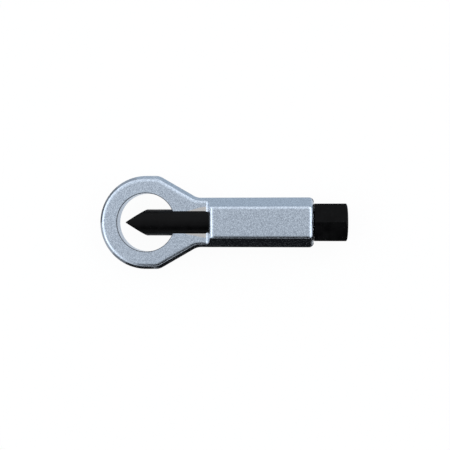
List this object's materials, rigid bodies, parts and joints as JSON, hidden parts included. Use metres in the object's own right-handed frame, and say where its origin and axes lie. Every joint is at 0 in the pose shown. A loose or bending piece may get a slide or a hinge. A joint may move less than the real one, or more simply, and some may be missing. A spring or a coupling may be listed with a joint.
{
  "type": "nut splitter",
  "caption": "Hand tool with a forged ring that goes over a seized nut and a wedge chisel that a hexagon-headed screw drives across the ring to split it.",
  "frame": {"origin": "middle of the nut hole, at mid height of the ring", "axes": "+X along the forcing screw towards its hexagon head, +Z along the nut hole's axis, up as in the picture"},
  "size_m": [0.1146, 0.0434, 0.02],
  "materials": {
    "satin_chrome": "satin chrome over a shot-blasted forging",
    "black_chisel": "black oxide on hardened steel",
    "black_screw": "black oxide, lightly oiled",
    "bright_steel": "ground hardened steel"
  },
  "bodies": {
    "frame": {"frame": "satin_chrome", "guide_screw": "black_screw"},
    "chisel": {"chisel": "black_chisel", "thrust_ball": "bright_steel", "swivel_pins": "bright_steel"},
    "screw": {"drive_screw": "black_screw"}
  },
  "joints": [
    {"name": "chisel_slide", "type": "slide", "parent": "frame", "child": "chisel", "axis": [1, 0, 0], "range_m": [0, 0.0225]},
    {"name": "screw_turn", "type": "hinge", "parent": "chisel", "child": "screw", "pos_m": [0.06, 0, 0], "axis": [1, 0, 0], "range_deg": [0, 5400]}
  ],
  "couplings": [
    {"joint": "screw_turn", "follows": "chisel_slide", "rad_per_m": 4188.8}
  ]
}
